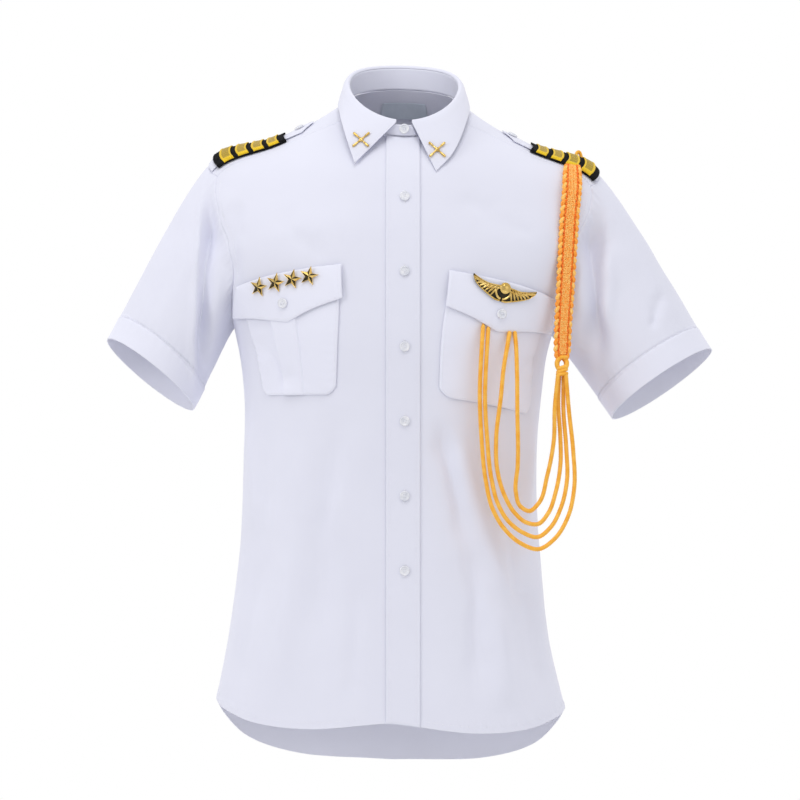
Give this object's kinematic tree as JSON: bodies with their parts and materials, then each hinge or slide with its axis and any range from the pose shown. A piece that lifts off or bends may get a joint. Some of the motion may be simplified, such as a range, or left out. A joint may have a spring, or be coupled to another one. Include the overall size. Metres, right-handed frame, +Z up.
{
  "type": "pilot shirt",
  "caption": "Short-sleeved white uniform shirt, worn and hollow, with rank slides on its shoulder straps, pocket badges, collar pins and a braided shoulder cord.",
  "frame": {"origin": "the middle of the neck opening, at the height of the top of the shoulders, where a wearer's neck holds the shirt", "axes": "+Z up, the front faces -Y, +X towards the wearer's left (the viewer's right)"},
  "size_m": [0.7254, 0.2494, 0.857],
  "materials": {
    "shirt_cloth": "matt fine twill, cool white",
    "slide_cloth": "matt black ribbed cloth",
    "gold_lace": "woven metallic yellow lace",
    "gold_metal": "stamped antique gold",
    "orange_cord": "glossy orange gold rayon",
    "button_shell": "pearly white",
    "label_cloth": "smooth woven label, bare"
  },
  "bodies": {
    "root": {"back": "shirt_cloth", "braid": "orange_cord", "braid_knot": "orange_cord", "button_collar": "button_shell", "button_front_1": "button_shell", "button_front_2": "button_shell", "button_front_3": "button_shell", "button_front_4": "button_shell", "button_front_5": "button_shell", "button_front_6": "button_shell", "button_pocket_left": "button_shell", "button_pocket_right": "button_shell", "button_strap_left": "button_shell", "button_strap_right": "button_shell", "collar_fall": "shirt_cloth", "collar_pin_left": "gold_metal", "collar_pin_right": "gold_metal", "collar_stand": "shirt_cloth", "cord_1": "orange_cord", "cord_2": "orange_cord", "cord_3": "orange_cord", "cord_4": "orange_cord", "flap_left": "shirt_cloth", "flap_right": "shirt_cloth", "front_left": "shirt_cloth", "front_right": "shirt_cloth", "gold_bar_left_1": "gold_lace", "gold_bar_left_2": "gold_lace", "gold_bar_left_3": "gold_lace", "gold_bar_left_4": "gold_lace", "gold_bar_right_1": "gold_lace", "gold_bar_right_2": "gold_lace", "gold_bar_right_3": "gold_lace", "gold_bar_right_4": "gold_lace", "label": "label_cloth", "placket": "shirt_cloth", "pocket_left": "shirt_cloth", "pocket_right": "shirt_cloth", "sleeve_left": "shirt_cloth", "sleeve_right": "shirt_cloth", "slide_left": "slide_cloth", "slide_right": "slide_cloth", "star_1": "gold_metal", "star_2": "gold_metal", "star_3": "gold_metal", "star_4": "gold_metal", "strap_left": "shirt_cloth", "strap_right": "shirt_cloth", "wings_badge": "gold_metal", "wings_disc": "gold_metal", "yoke": "shirt_cloth"}
  },
  "joints": []
}
